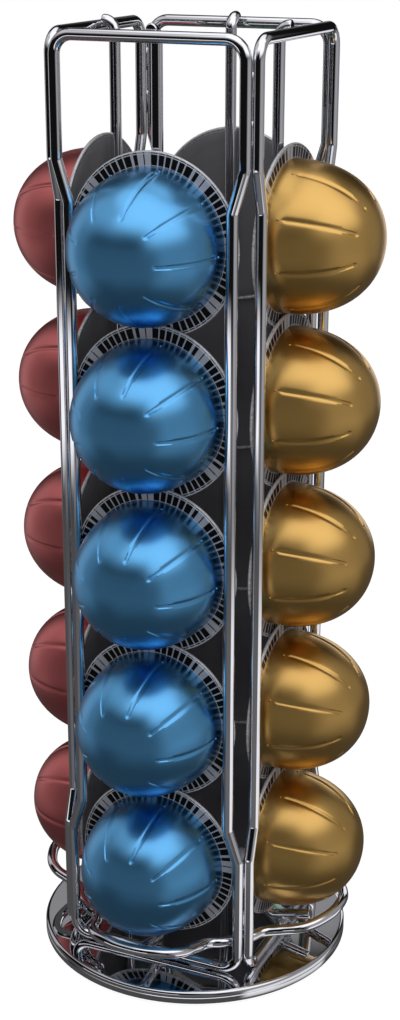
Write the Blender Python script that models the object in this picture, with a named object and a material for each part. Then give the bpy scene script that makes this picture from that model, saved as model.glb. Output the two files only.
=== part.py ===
# Carousel for large coffee capsules: a turning disc on a ball bearing carries
# four bent-wire slots, and each slot holds a stack of five domed capsules.
# Lengths are metres, +Z is up, and the blue column faces -Y.
import math

import bmesh
import bpy
from mathutils import Matrix, Vector

# Wire rack
WIRE = 0.004
WELD_GAP = 0.0003
FACE_OUT = 0.0369
ROD_OUT = 0.0302
WIDE_HALF = FACE_OUT - (WIRE + WELD_GAP) / math.sqrt(2)
NARROW_HALF = 0.02964
CORNER_BEND = 0.0065
KINK_BEND = 0.005
TOP_BAR_Z = 0.3435
TOP_KINK_WIDE_Z = 0.3035
TOP_KINK_NARROW_Z = 0.2895
LOW_KINK_NARROW_Z = 0.0670
LOW_KINK_WIDE_Z = 0.0545
ROD_BEND = 0.004
ROD_TOP_STEP = 0.002
FOOT_END_OUT = 0.049
FOOT_SLOPE = math.radians(14)

# Turntable
RUN_GAP = 0.0001
SKIRT_Z = 0.002
DISC_R = 0.0591
DISC_TOP_Z = 0.0069
SHEET = 0.001
EDGE_ROUND = 0.0015
EDGE_ROUND_MID = 0.00044
PIVOT_R = 0.003
PIVOT_HEAD_R = 0.006
PIVOT_HEAD_H = 0.0012
PIVOT_HEAD_TOP_R = 0.0045
PIVOT_FOOT_Z = 0.0004
FOOT_RING_OUT = 0.046
FOOT_RING_IN = 0.040
FOOT_RING_H = 0.0012
PLATE_R = 0.048
PLATE_Z = FOOT_RING_H + WELD_GAP
PLATE_T = 0.0008
BALL_CIRCLE_R = 0.028
BALL_COUNT = 5
CAGE_OUT = 0.032
CAGE_IN = 0.024
CAGE_T = 0.0008

# Stop ring that keeps the bottom capsules from rolling off
RING_LOW_Z = 0.0194
RING_RISE = 0.0041
RING_RISE_POWER_SHARE = 1.3
RING_CORNER = (WIDE_HALF + FACE_OUT) / 2 - (WIRE + WELD_GAP) / math.sqrt(2)
RING_SHOULDER_HALF = 0.0278
RING_SHOULDER_OUT = 0.0362
RING_NECK_HALF = 0.0236
RING_NECK_OUT = 0.0386
LOBE_HALF = 0.0207
LOBE_START_OUT = 0.0448
LOBE_END_OUT = 0.0603
LOBE_STEPS = 3

# Capsule
FLANGE_R = 0.031
FLANGE_T = 0.0011
RIM_W = 0.0011
WEB_T = 0.0005
DOME_R = 0.0259
SKIRT_L = 0.003
DOME_H = 0.0303
WALL = 0.0007
CAVITY_R = 0.0232
CAVITY_MID_H = 0.014
CAVITY_TOP_H = 0.0295
DOME_POWER_ALONG_SHARE = 2 / 2.09
DOME_POWER_ACROSS_SHARE = 2 / 2.15
DOME_STEPS = 4
LID_T = 0.0003
LEAN = math.radians(1.45)
PER_COLUMN = 5
SIDE_SHIFT = 0.0012
LOW_SIDE_SHIFT = 0.0005
REST_GAP = 0.00033

ROUND = 16
ROUND_FINE = 48
ARC_STEPS = 6
SHARP_ANGLE = math.radians(35)

# Heights that follow from the sizes above
LOW_BAR_Z = DISC_TOP_Z + WELD_GAP + WIRE / 2
FOOT_BEND_Z = LOW_BAR_Z + (
    ROD_BEND + WIRE + WELD_GAP - math.sin(FOOT_SLOPE) * (FACE_OUT - ROD_OUT - ROD_BEND)
) / math.cos(FOOT_SLOPE)
FLANGE_BACK_OUT = ROD_OUT + WIRE / 2 + WELD_GAP + FLANGE_R * math.sin(LEAN)
FLANGE_FRONT_OUT = FLANGE_BACK_OUT + FLANGE_T
LOW_CAPSULE_Z = FOOT_BEND_Z + FLANGE_R * math.cos(LEAN)
CAPSULE_PITCH = (FLANGE_R + DOME_R) * math.cos(LEAN) + REST_GAP

# Every column's name, direction, capsule colour and sideways play of its stack
COLUMNS = (
    ("front", 0, (0.10, 0.36, 0.62), 0),
    ("right", 90, (0.62, 0.40, 0.12), SIDE_SHIFT),
    ("back", 180, (0.10, 0.30, 0.16), 0),
    ("left", 270, (0.45, 0.13, 0.13), SIDE_SHIFT),
)


def clear_scene():
    for old in list(bpy.data.objects):
        bpy.data.objects.remove(old, do_unlink=True)


def material(name, colour, metallic, roughness):
    mat = bpy.data.materials.new(name)
    mat.use_nodes = True
    shader = mat.node_tree.nodes["Principled BSDF"]
    shader.inputs["Base Color"].default_value = (*colour, 1)
    shader.inputs["Metallic"].default_value = metallic
    shader.inputs["Roughness"].default_value = roughness
    mat.diffuse_color = (*colour, 1)
    return mat


def add_object(name, data, mat, parent):
    if not data.materials:
        data.materials.append(mat)
    obj = bpy.data.objects.new(name, data)
    bpy.context.scene.collection.objects.link(obj)
    obj.parent = parent
    return obj


def add_empty(name, parent=None, turn=0):
    empty = bpy.data.objects.new(name, None)
    bpy.context.scene.collection.objects.link(empty)
    empty.parent = parent
    empty.rotation_euler = (0, 0, math.radians(turn))
    return empty


# Wires are curves with a round bevel. Every corner of the path becomes an arc,
# the way a wire comes off a bending tool.
def corner_arc(before, corner, after, radius):
    a = (before - corner).normalized()
    b = (after - corner).normalized()
    half = a.angle(b) / 2
    centre = corner + (a + b).normalized() * radius / math.sin(half)
    start = corner + a * radius / math.tan(half) - centre
    axis = (corner - before).cross(after - corner)
    turn = math.pi - 2 * half
    steps = max(2, round(ARC_STEPS * turn / (math.pi / 2)))
    return [centre + Matrix.Rotation(turn * i / steps, 3, axis) @ start for i in range(steps + 1)]


def bent_path(corners, radii, closed):
    path = []
    count = len(corners)
    for i, corner in enumerate(corners):
        if radii[i]:
            path += corner_arc(corners[i - 1], corner, corners[(i + 1) % count], radii[i])
        else:
            path.append(corner)
    return path


def wire_curve(name, path, closed):
    curve = bpy.data.curves.new(name, "CURVE")
    curve.dimensions = "3D"
    curve.bevel_depth = WIRE / 2
    curve.bevel_resolution = 2
    curve.use_fill_caps = True
    spline = curve.splines.new("POLY")
    spline.points.add(len(path) - 1)
    for point, place in zip(spline.points, path):
        point.co = (*place, 1)
    spline.use_cyclic_u = closed
    spline.use_smooth = True
    return curve


def on_face(side, z):
    return Vector((side, -FACE_OUT, z))


def frame_curve():
    right = [
        (on_face(WIDE_HALF, LOW_BAR_Z), CORNER_BEND),
        (on_face(WIDE_HALF, LOW_KINK_WIDE_Z), KINK_BEND),
        (on_face(NARROW_HALF, LOW_KINK_NARROW_Z), KINK_BEND),
        (on_face(NARROW_HALF, TOP_KINK_NARROW_Z), KINK_BEND),
        (on_face(WIDE_HALF, TOP_KINK_WIDE_Z), KINK_BEND),
        (on_face(WIDE_HALF, TOP_BAR_Z), CORNER_BEND),
    ]
    left = [(Vector((-place.x, place.y, place.z)), radius) for place, radius in reversed(right)]
    loop = right + left
    path = bent_path([place for place, _ in loop], [radius for _, radius in loop], True)
    return wire_curve("window_frame", path, True)


def on_axis(out, z):
    return Vector((0, -out, z))


# The back rod leaves its top end over the inside of the top bar, and its lower
# end crosses the bottom bar and rises outwards as the foot of the slot.
def rod_curve():
    low_z = FOOT_BEND_Z - ROD_BEND * (1 + math.sin(FOOT_SLOPE)) / math.cos(FOOT_SLOPE)
    end_z = low_z + (FOOT_END_OUT - ROD_OUT) * math.tan(FOOT_SLOPE)
    corners = [
        on_axis(FACE_OUT - WIRE / 2 - WELD_GAP, TOP_BAR_Z + ROD_TOP_STEP),
        on_axis(ROD_OUT, TOP_BAR_Z + ROD_TOP_STEP),
        on_axis(ROD_OUT, low_z),
        on_axis(FOOT_END_OUT, end_z),
    ]
    return wire_curve("back_rod", bent_path(corners, [0, ROD_BEND, ROD_BEND, 0], False), False)


# One closed wire runs inside the four corners and swings out to a raised lobe
# under the nose of each bottom capsule.
def ring_point(side, out):
    share = max(0, (out - RING_NECK_OUT) / (LOBE_END_OUT - RING_NECK_OUT))
    return Vector((side, -out, RING_LOW_Z + RING_RISE * share ** RING_RISE_POWER_SHARE))


def ring_curve():
    depth = LOBE_END_OUT - LOBE_START_OUT
    half_side = [
        ring_point(RING_SHOULDER_HALF, RING_SHOULDER_OUT),
        ring_point(RING_NECK_HALF, RING_NECK_OUT),
    ]
    for step in range(LOBE_STEPS):
        angle = math.pi / 2 * step / LOBE_STEPS
        half_side.append(ring_point(
            LOBE_HALF * math.cos(angle), LOBE_START_OUT + depth * math.sin(angle)))
    one_side = [ring_point(RING_CORNER, RING_CORNER)] + half_side + [ring_point(0, LOBE_END_OUT)]
    one_side += [Vector((-p.x, p.y, p.z)) for p in reversed(half_side)]
    curve = bpy.data.curves.new("stop_ring", "CURVE")
    curve.dimensions = "3D"
    curve.bevel_depth = WIRE / 2
    curve.bevel_resolution = 2
    curve.resolution_u = 2
    spline = curve.splines.new("BEZIER")
    places = []
    for name, turn, colour, shift in reversed(COLUMNS):
        places += [Matrix.Rotation(math.radians(turn), 3, "Z") @ p for p in one_side]
    spline.bezier_points.add(len(places) - 1)
    for point, place in zip(spline.bezier_points, places):
        point.co = place
    spline.use_cyclic_u = True
    for point in spline.bezier_points:
        point.handle_left_type = "AUTO"
        point.handle_right_type = "AUTO"
    return curve


# Turned pieces are a profile of (radius, height) pairs spun round their axis.
# A closed profile makes a ring; an open one starts and ends on the axis.
def turned_mesh(name, profile, closed, segments):
    bm = bmesh.new()
    verts = [bm.verts.new((radius, 0, height)) for radius, height in profile]
    edges = [bm.edges.new(pair) for pair in zip(verts, verts[1:])]
    if closed:
        edges.append(bm.edges.new((verts[-1], verts[0])))
    bmesh.ops.spin(bm, geom=verts + edges, axis=(0, 0, 1), cent=(0, 0, 0),
                   steps=segments, angle=2 * math.pi)
    bmesh.ops.remove_doubles(bm, verts=bm.verts, dist=WELD_GAP / 100)
    bmesh.ops.recalc_face_normals(bm, faces=bm.faces)
    mesh = bpy.data.meshes.new(name)
    bm.to_mesh(mesh)
    bm.free()
    mesh.shade_smooth()
    mesh.set_sharp_from_angle(angle=SHARP_ANGLE)
    return mesh


def ring_profile(inner, outer, low, high):
    return [(inner, low), (outer, low), (outer, high), (inner, high)]


def disc_mesh():
    under = DISC_TOP_Z - SHEET
    profile = [
        (PIVOT_R + RUN_GAP, DISC_TOP_Z),
        (PIVOT_R + RUN_GAP, under),
        (DISC_R - SHEET, under),
        (DISC_R - SHEET, SKIRT_Z),
        (DISC_R, SKIRT_Z),
        (DISC_R, DISC_TOP_Z - EDGE_ROUND),
        (DISC_R - EDGE_ROUND_MID, DISC_TOP_Z - EDGE_ROUND_MID),
        (DISC_R - EDGE_ROUND, DISC_TOP_Z),
    ]
    return turned_mesh("turntable_disc", profile, True, ROUND_FINE)


def pivot_mesh():
    head_z = DISC_TOP_Z + WELD_GAP
    profile = [
        (0, PIVOT_FOOT_Z),
        (PIVOT_HEAD_R, PIVOT_FOOT_Z),
        (PIVOT_HEAD_R, FOOT_RING_H),
        (PIVOT_R, FOOT_RING_H),
        (PIVOT_R, head_z),
        (PIVOT_HEAD_R, head_z),
        (PIVOT_HEAD_TOP_R, head_z + PIVOT_HEAD_H),
        (0, head_z + PIVOT_HEAD_H),
    ]
    return turned_mesh("pivot_rivet", profile, False, ROUND)


def ball_place(number, height):
    angle = 2 * math.pi * number / BALL_COUNT
    return Vector((BALL_CIRCLE_R * math.cos(angle), BALL_CIRCLE_R * math.sin(angle), height))


def ball_mesh(radius):
    bm = bmesh.new()
    bmesh.ops.create_icosphere(bm, subdivisions=2, radius=radius)
    mesh = bpy.data.meshes.new("bearing_ball")
    bm.to_mesh(mesh)
    bm.free()
    mesh.shade_smooth()
    return mesh


def pocket_cutter(parent, low, high):
    bm = bmesh.new()
    radius = (high - low) / 2
    for number in range(BALL_COUNT):
        place = ball_place(number, (low + high) / 2)
        bmesh.ops.create_cone(bm, cap_ends=True, segments=ROUND, radius1=radius, radius2=radius,
                              depth=high - low, matrix=Matrix.Translation(place))
    mesh = bpy.data.meshes.new("ball_pockets")
    bm.to_mesh(mesh)
    bm.free()
    cutter = bpy.data.objects.new("ball_pockets", mesh)
    bpy.context.scene.collection.objects.link(cutter)
    cutter.parent = parent
    cutter.hide_render = True
    cutter.display_type = "WIRE"
    return cutter


def capsule_mesh(name):
    outer = []
    for i in range(DOME_STEPS):
        angle = math.pi / 2 * i / DOME_STEPS
        radius = DOME_R * math.cos(angle) ** DOME_POWER_ACROSS_SHARE
        height = SKIRT_L + DOME_H * math.sin(angle) ** DOME_POWER_ALONG_SHARE
        outer.append((radius, height))
    profile = [
        (0, CAVITY_TOP_H),
        (CAVITY_R, CAVITY_MID_H),
        (DOME_R - WALL, -WEB_T),
        (FLANGE_R - RIM_W, -WEB_T),
        (FLANGE_R - RIM_W, -FLANGE_T),
        (FLANGE_R, -FLANGE_T),
        (FLANGE_R, 0),
        (DOME_R, 0),
    ] + outer + [(0, SKIRT_L + DOME_H)]
    return turned_mesh(name, profile, False, ROUND)


def lid_mesh():
    radius = FLANGE_R - RIM_W - WELD_GAP
    profile = [(0, -FLANGE_T), (radius, -FLANGE_T), (radius, LID_T - FLANGE_T), (0, LID_T - FLANGE_T)]
    return turned_mesh("foil_lid", profile, False, ROUND)


def build_base():
    steel = material("base_steel", (0.45, 0.46, 0.48), 1, 0.35)
    rubber = material("black_rubber", (0.02, 0.02, 0.02), 0, 0.8)
    cage_plastic = material("cage_plastic", (0.75, 0.75, 0.72), 0, 0.5)
    bright = material("ball_steel", (0.7, 0.7, 0.72), 1, 0.15)
    plate = ring_profile(PIVOT_R + WELD_GAP, PLATE_R, PLATE_Z, PLATE_Z + PLATE_T)
    foot = ring_profile(FOOT_RING_IN, FOOT_RING_OUT, 0, FOOT_RING_H)
    low = PLATE_Z + PLATE_T
    high = DISC_TOP_Z - SHEET
    middle = (low + high) / 2
    cage = ring_profile(CAGE_IN, CAGE_OUT, middle - CAGE_T / 2, middle + CAGE_T / 2)
    base = add_empty("fixed_base")
    add_object("foot_ring", turned_mesh("foot_ring", foot, True, ROUND * 2), rubber, base)
    add_object("base_plate", turned_mesh("base_plate", plate, True, ROUND * 2), steel, base)
    add_object("pivot_rivet", pivot_mesh(), steel, base)
    ball = ball_mesh((high - low) / 2 - WELD_GAP)
    for number in range(BALL_COUNT):
        obj = add_object("bearing_ball_%d" % (number + 1), ball, bright, base)
        obj.location = ball_place(number, middle)
    ball_cage = add_object("ball_cage", turned_mesh("ball_cage", cage, True, ROUND), cage_plastic, base)
    cut = ball_cage.modifiers.new("pockets", "BOOLEAN")
    cut.object = pocket_cutter(base, low, high)
    cut.solver = "EXACT"


def build_rack(carousel):
    chrome = material("chrome_wire", (0.78, 0.78, 0.80), 1, 0.08)
    mirror = material("chrome_disc", (0.72, 0.72, 0.74), 1, 0.04)
    add_object("turntable_disc", disc_mesh(), mirror, carousel)
    add_object("stop_ring", ring_curve(), chrome, carousel)
    frame = frame_curve()
    rod = rod_curve()
    for name, turn, colour, shift in COLUMNS:
        side = add_empty("side_" + name, carousel, turn)
        add_object("frame_" + name, frame, chrome, side)
        add_object("rod_" + name, rod, chrome, side)


def build_capsules(carousel):
    foil = material("lid_foil", (0.07, 0.07, 0.075), 0.8, 0.4)
    lid_data = lid_mesh()
    for name, turn, colour, shift in COLUMNS:
        paint = material("capsule_" + name, colour, 0.9, 0.3)
        body_data = capsule_mesh("capsule_" + name)
        column = add_empty("column_" + name, carousel, turn)
        for number in range(1, PER_COLUMN + 1):
            step = PER_COLUMN - number
            side = shift if step else LOW_SIDE_SHIFT
            place = (side, -FLANGE_FRONT_OUT, LOW_CAPSULE_Z + step * CAPSULE_PITCH)
            for piece, data, mat in (("capsule", body_data, paint), ("lid", lid_data, foil)):
                obj = add_object("%s_%s_%d" % (piece, name, number), data, mat, column)
                obj.location = place
                obj.rotation_euler = (math.pi / 2 + LEAN, 0, 0)


def main():
    clear_scene()
    carousel = add_empty("carousel")
    build_base()
    build_rack(carousel)
    build_capsules(carousel)


main()
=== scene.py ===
# %% [markdown]
# # A carousel of coffee capsules
#
# A wire rack turns on a mirror disc and holds four columns of domed aluminium
# capsules. The solid model already has every piece in its place, so this
# lesson dresses it: each wire, cup and lid gets its fine shape, and each
# surface gets the finish it has on the real thing.

# %% Load the frame
import math

import bmesh
import bpy
from mathutils import Matrix, Vector


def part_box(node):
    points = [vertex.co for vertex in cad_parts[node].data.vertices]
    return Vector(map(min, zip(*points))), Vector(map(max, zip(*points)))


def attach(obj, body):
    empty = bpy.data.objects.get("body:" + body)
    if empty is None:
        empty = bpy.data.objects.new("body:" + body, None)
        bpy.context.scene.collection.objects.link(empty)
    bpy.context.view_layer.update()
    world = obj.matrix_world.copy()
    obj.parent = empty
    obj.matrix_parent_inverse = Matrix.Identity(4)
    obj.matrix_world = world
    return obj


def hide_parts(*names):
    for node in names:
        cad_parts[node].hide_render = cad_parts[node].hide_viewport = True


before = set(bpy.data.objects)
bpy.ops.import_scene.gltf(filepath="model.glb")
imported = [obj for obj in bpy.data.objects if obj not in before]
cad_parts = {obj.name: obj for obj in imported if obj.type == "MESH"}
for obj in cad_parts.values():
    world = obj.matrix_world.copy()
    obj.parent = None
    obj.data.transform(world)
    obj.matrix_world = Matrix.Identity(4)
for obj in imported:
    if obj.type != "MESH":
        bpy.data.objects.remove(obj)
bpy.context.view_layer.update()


def add_object(name, data):
    made = bpy.data.objects.new(name, data)
    bpy.context.scene.collection.objects.link(made)
    return made


# %% [markdown]
# ## Helpers for node trees
#
# Every material and every Geometry Nodes tree below is wired by one small
# function. It adds a node, sets its options, and fills each socket with either
# a value or a link from another node. Five short ones save words for the maths
# and the vector nodes. The last two turn the colours that a screen shows (hex)
# into the linear values that shaders use, and mix them.

# %% Node and colour helpers
def node(tree, kind, settings=None, links=None):
    made = tree.nodes.new(kind)
    for name, value in (settings or {}).items():
        setattr(made, name, value)
    for socket, value in (links or {}).items():
        if isinstance(value, bpy.types.NodeSocket):
            tree.links.new(value, made.inputs[socket])
        else:
            made.inputs[socket].default_value = value
    return made


def math_node(tree, operation, *values):
    return node(tree, "ShaderNodeMath", {"operation": operation}, dict(enumerate(values))).outputs[0]


def vector_math(tree, operation, *values):
    return node(tree, "ShaderNodeVectorMath", {"operation": operation}, dict(enumerate(values))).outputs


def split(tree, vector):
    return node(tree, "ShaderNodeSeparateXYZ", links={"Vector": vector}).outputs


def joined(tree, **parts):
    return node(tree, "ShaderNodeCombineXYZ", links=parts).outputs[0]


def remap(tree, value, low, high, to_low, to_high, kind="LINEAR"):
    return node(tree, "ShaderNodeMapRange", {"interpolation_type": kind}, {
        "Value": value, "From Min": low, "From Max": high,
        "To Min": to_low, "To Max": to_high}).outputs["Result"]


def linear(hex_colour):
    channels = [int(hex_colour[i:i + 2], 16) / 255 for i in (1, 3, 5)]
    return [c / 12.92 if c <= 0.04045 else ((c + 0.055) / 1.055) ** 2.4 for c in channels] + [1]


def mixed(tree, factor, first, second):
    ends = [linear(end) if isinstance(end, str) else end for end in (first, second)]
    return node(tree, "ShaderNodeMix", {"data_type": "RGBA"}, {
        "Factor": factor, "A": ends[0], "B": ends[1]}).outputs["Result"]


# %% [markdown]
# ## Camera
#
# The camera stands a little to the right of the blue column and looks down on
# the disc by about twenty degrees. Its place was worked out from the straight
# wires and the round rims, which give enough known lines to solve for it.

# %% Place the camera
CAMERA_PLACE = (0.2575, -0.5698, 0.3867)
CAMERA_YAW = 24.435
CAMERA_DOWN = 20.356

camera_data = bpy.data.cameras.new("camera")
camera_data.lens = 63.68
camera_data.sensor_width = 36
camera_data.shift_x = 0.0080
camera_data.shift_y = 0.0491
camera = add_object("camera", camera_data)
camera.location = CAMERA_PLACE
camera.rotation_euler = (math.radians(90 - CAMERA_DOWN), 0, math.radians(CAMERA_YAW))
bpy.context.scene.camera = camera
print("camera stands", round(camera.location.length, 3), "m from the foot")

# %% [markdown]
# ## One recipe for every plain surface
#
# No real surface is one flat colour. Each plain finish here mixes two close
# colours by a noise, lets a noise vary its roughness, and raises a faint
# relief. Noise scales are counted per metre, so 80 means patches of 12 mm.

# %% Surface recipe
def new_material(name):
    mat = bpy.data.materials.new(name)
    mat.use_nodes = True
    mat.node_tree.nodes.clear()
    return mat, mat.node_tree


def finish_material(tree, shader):
    node(tree, "ShaderNodeOutputMaterial", links={"Surface": shader.outputs[0]})


def surface(name, colours, noises, rough, relief, values, rough_by=0, span=(0.3, 0.7)):
    mat, tree = new_material(name)
    place = node(tree, "ShaderNodeTexCoord")
    # A noise is (scale, detail) and the relief (strength, depth). The first noise tints,
    # the last one raises, and either may roughen: its span is spread over the rough range
    fields = [node(tree, "ShaderNodeTexNoise", links={
        "Vector": place.outputs["Object"], "Scale": scale, "Detail": detail}).outputs["Fac"]
        for scale, detail in noises]
    raised = node(tree, "ShaderNodeBump", links={
        "Height": fields[-1], "Strength": relief[0], "Distance": relief[1]})
    sockets = {"Base Color": mixed(tree, fields[0], *colours), "Normal": raised.outputs["Normal"],
               "Roughness": remap(tree, fields[rough_by], *span, *rough)}
    finish_material(tree, node(tree, "ShaderNodeBsdfPrincipled", links=dict(sockets, **values)))
    return mat


print("surface recipe ready")

# %% [markdown]
# ## Chrome
#
# The wires are steel, plated with nickel and a thin layer of chromium. Chrome
# is nearly colourless, only slightly cool, and smoother than anything around
# it, so it shows the room and hardly any of itself. A very faint long-wave
# bump keeps the reflections in the wires from being drawn with a ruler, and
# the plating is a touch duller where it was handled.

# %% Chrome materials
# Patches of handling about 12 mm across, waves about 25 mm long
wire_chrome = surface("chrome_plated_wire", ("#f0f0f4", "#e4e4ea"), ((80, 4), (40, 1)),
                      (0.02, 0.05), (0.012, 0.0002), {"Metallic": 1.0})
# The disc is pressed flat, so its relief is left at nothing
disc_chrome = surface("chrome_plated_disc", ("#e4e4e8", "#dadade"), ((60, 4), (12, 1)),
                      (0.015, 0.04), (0.0, 0.0002), {"Metallic": 1.0})
print("chrome:", wire_chrome.name, disc_chrome.name)

# %% [markdown]
# ## Lacquered aluminium of the cups
#
# Each cup is drawn from thin aluminium sheet that was lacquered in colour
# first. The lacquer is clear and tinted, so light passes it, bounces off the
# bright metal and comes back coloured. A metallic shader with a saturated base
# does this, and a thin clear coat adds the uncoloured glint on top. A fine
# grain breaks the reflection up slightly, as rolled sheet does.

# %% Cup lacquers
def lacquer(name, colour, deep_colour, roughness):
    # The rolled grain is drawn 0.5 mm coarse, so that it still shows
    return surface(name, (colour, deep_colour), ((90, 3), (2000, 2)),
                   (roughness - 0.02, roughness + 0.02), (0.012, 0.00005),
                   {"Metallic": 1.0, "Coat Weight": 0.06, "Coat Roughness": 0.2},
                   rough_by=1, span=(0.0, 1.0))


LACQUERS = {
    "front": lacquer("blue_lacquered_aluminium", "#6ebaf1", "#66b2e9", 0.30),
    "right": lacquer("gold_lacquered_aluminium", "#e6ba6e", "#daae63", 0.33),
    "back": lacquer("green_lacquered_aluminium", "#5cae7c", "#52a070", 0.34),
    "left": lacquer("red_lacquered_aluminium", "#e07c7c", "#d67272", 0.36),
}
print("lacquers:", ", ".join(mat.name for mat in LACQUERS.values()))

# %% [markdown]
# ## Printed flange, bare rim and foil lid
#
# The flat flange of each cup carries a ring of printed bars. The layout here is
# a plain repeated pattern of this lesson's own: eight equal groups, each with
# two wide bars, a medium one and a row of thin ones. The bars are bare metal
# left open in a black print, so the same mask drives colour, metallic and
# roughness. The pattern follows the cup itself, so it reads the place on the
# cup that the cup's geometry stores, and not the place in the room.

# %% Flange print
GROUPS = 8
# Radius and half width of a painted highlight ring at the foot of the dome
PAINTED_HIGHLIGHT_RING_R = 0.02622
PAINTED_HIGHLIGHT_RING_HALF = 0.0001
# Starts and ends of the bars inside one group, in degrees of its 45
BARS = ((0.0, 4.4), (5.3, 9.7), (12.6, 14.6), (19.6, 20.7), (24.6, 25.7), (29.6, 30.7),
        (34.4, 35.5), (39.2, 40.3))


def printed_flange(name):
    mat, tree = new_material(name)
    place = node(tree, "ShaderNodeAttribute", {"attribute_name": "cup_place"})
    parts = split(tree, place.outputs["Vector"])
    angle = math_node(tree, "ARCTAN2", parts["Y"], parts["X"])
    group = math_node(tree, "MULTIPLY_ADD", angle, GROUPS / (2 * math.pi), GROUPS)
    bars = node(tree, "ShaderNodeValToRGB", links={"Fac": math_node(tree, "FRACT", group)})
    bars.color_ramp.interpolation = "CONSTANT"
    stops = [(edge * GROUPS / 360, 1 - side) for bar in BARS for side, edge in enumerate(bar)]
    for number, (position, value) in enumerate(stops):
        ramp = bars.color_ramp.elements
        stop = ramp[number] if number < 2 else ramp.new(position)
        stop.position = position
        stop.color = (value, value, value, 1)
    radius = vector_math(tree, "LENGTH", joined(tree, X=parts["X"], Y=parts["Y"]))["Value"]
    # A thin light ring, 0.2 mm wide, where the dome rises from the flange: a painted highlight of the
    # fillet there, drawn in bare foil colour
    inner = math_node(tree, "COMPARE", radius, PAINTED_HIGHLIGHT_RING_R, PAINTED_HIGHLIGHT_RING_HALF)
    # The bars are bare foil, and the ring at the dome's foot is a painted highlight in the same foil
    # colour
    bare_and_painted_highlight = math_node(tree, "MAXIMUM", bars.outputs["Color"], inner)
    # Ink and foil are both a little uneven over a few millimetres
    cloud = node(tree, "ShaderNodeTexNoise", links={
        "Vector": place.outputs["Vector"], "Scale": 400.0, "Detail": 3.0})
    foil = mixed(tree, cloud.outputs["Fac"], "#d2d2d8", "#bebec6")
    ink = mixed(tree, cloud.outputs["Fac"], "#050506", "#0a0a0b")
    # The matt ink shines less than bare foil
    shader = node(tree, "ShaderNodeBsdfPrincipled", links={
        "Base Color": mixed(tree, bare_and_painted_highlight, ink, foil), "Metallic": math_node(tree, "MULTIPLY", bare_and_painted_highlight, 0.55),
        "Roughness": remap(tree, bare_and_painted_highlight, 0.0, 1.0, 0.35, 0.42),
        "Specular IOR Level": remap(tree, bare_and_painted_highlight, 0.0, 1.0, 0.2, 0.5)})
    finish_material(tree, shader)
    return mat


print_black = printed_flange("printed_flange_foil")
print("bars round one flange:", GROUPS * len(BARS))

# %% [markdown]
# The rim is the raw edge of the sheet, rolled over: bare aluminium that the
# rolling tool left satin and a little uneven. The lid is a dark lacquered foil.
# It is sealed flat, so it has hardly any shape of its own, and it is the slight
# mottle of the seal and the soft sheen that make it look like foil and not like
# plastic.

# %% Rim and lid finishes
# Mottles of about 2 mm on the rim, 6 mm on the lid, 8 mm on the zinc, 1 mm on the balls
rim_metal = surface("rolled_aluminium_rim", ("#dcdce0", "#ceced3"), ((500, 5),),
                    (0.22, 0.34), (0.3, 0.00002), {"Metallic": 0.4})
lid_foil = surface("dark_lacquered_foil", ("#808084", "#747478"), ((160, 5),),
                   (0.4, 0.52), (0.3, 0.00003), {"Metallic": 0.3})
zinc_steel = surface("zinc_plated_steel", ("#b9bbc0", "#9fa3aa"), ((120, 5),),
                     (0.28, 0.42), (0.3, 0.00002), {"Metallic": 1.0})
ball_steel = surface("polished_bearing_steel", ("#c6c7ca", "#b9babf"), ((900, 5),),
                     (0.08, 0.14), (0.3, 0.000002), {"Metallic": 1.0})
print("metals:", rim_metal.name, lid_foil.name, zinc_steel.name, ball_steel.name)

# %% [markdown]
# Rubber and nylon are hidden under the disc and seen only when the rack is
# tipped. Rubber is nearly black and dull with a moulded pebble of about half a
# millimetre. Natural nylon is milky, so a little light goes into it.

# %% Rubber and nylon
foot_rubber = surface("moulded_foot_rubber", ("#1b1b1c", "#252526"), ((2000, 4),), (0.69, 0.81),
                      (0.5, 0.00008), {}, span=(0.0, 1.0))
cage_nylon = surface("natural_nylon", ("#dedbd0", "#d2cfc4"), ((700, 4),), (0.39, 0.51), (0.5, 0.00002),
                     {"Subsurface Weight": 0.2, "Subsurface Scale": 0.001}, span=(0.0, 1.0))
print("plastics:", foot_rubber.name, cage_nylon.name)

# %% [markdown]
# ## Geometry Nodes in three small steps
#
# Nearly everything on this rack follows a rule: wires follow a path, round
# pieces are a profile turned about an axis, and the cups repeat one groove nine
# times. Each rule becomes one node tree. A guide mesh carries the measured
# points into the tree, the evaluated result is taken out as a plain mesh, and
# the guide with its modifier is thrown away.

# %% Tree helpers
def new_tree(name, inputs):
    tree = bpy.data.node_groups.new(name, "GeometryNodeTree")
    tree.interface.new_socket("Geometry", in_out="INPUT", socket_type="NodeSocketGeometry")
    for label, kind in inputs:
        tree.interface.new_socket(label, in_out="INPUT", socket_type="NodeSocket" + kind)
    tree.interface.new_socket("Geometry", in_out="OUTPUT", socket_type="NodeSocketGeometry")
    return tree, tree.nodes.new("NodeGroupInput").outputs


def stored(tree, name, kind="FLOAT"):
    return node(tree, "GeometryNodeInputNamedAttribute", {"data_type": kind}, {
        "Name": name}).outputs["Attribute"]


def end_tree(tree, geometry, *finishes):
    whole = node(tree, "GeometryNodeRealizeInstances", links={"Geometry": geometry.outputs[0]})
    last = node(tree, "GeometryNodeSetShadeSmooth", links={"Geometry": whole.outputs[0]})
    for finish, where in finishes:
        last = node(tree, "GeometryNodeSetMaterial", links={
            "Geometry": last.outputs[0], "Material": finish, "Selection": where})
    node(tree, "NodeGroupOutput", links={"Geometry": last.outputs[0]})
    return tree


def guide_mesh(name, points, closed, extra=None):
    count = len(points)
    edges = [(i, (i + 1) % count) for i in range(count if closed else count - 1)]
    mesh = bpy.data.meshes.new(name)
    mesh.from_pydata([tuple(p) for p in points], edges, [])
    for label, values in (extra or {}).items():
        mesh.attributes.new(label, "FLOAT", "POINT").data.foreach_set("value", values)
    return mesh


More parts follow.
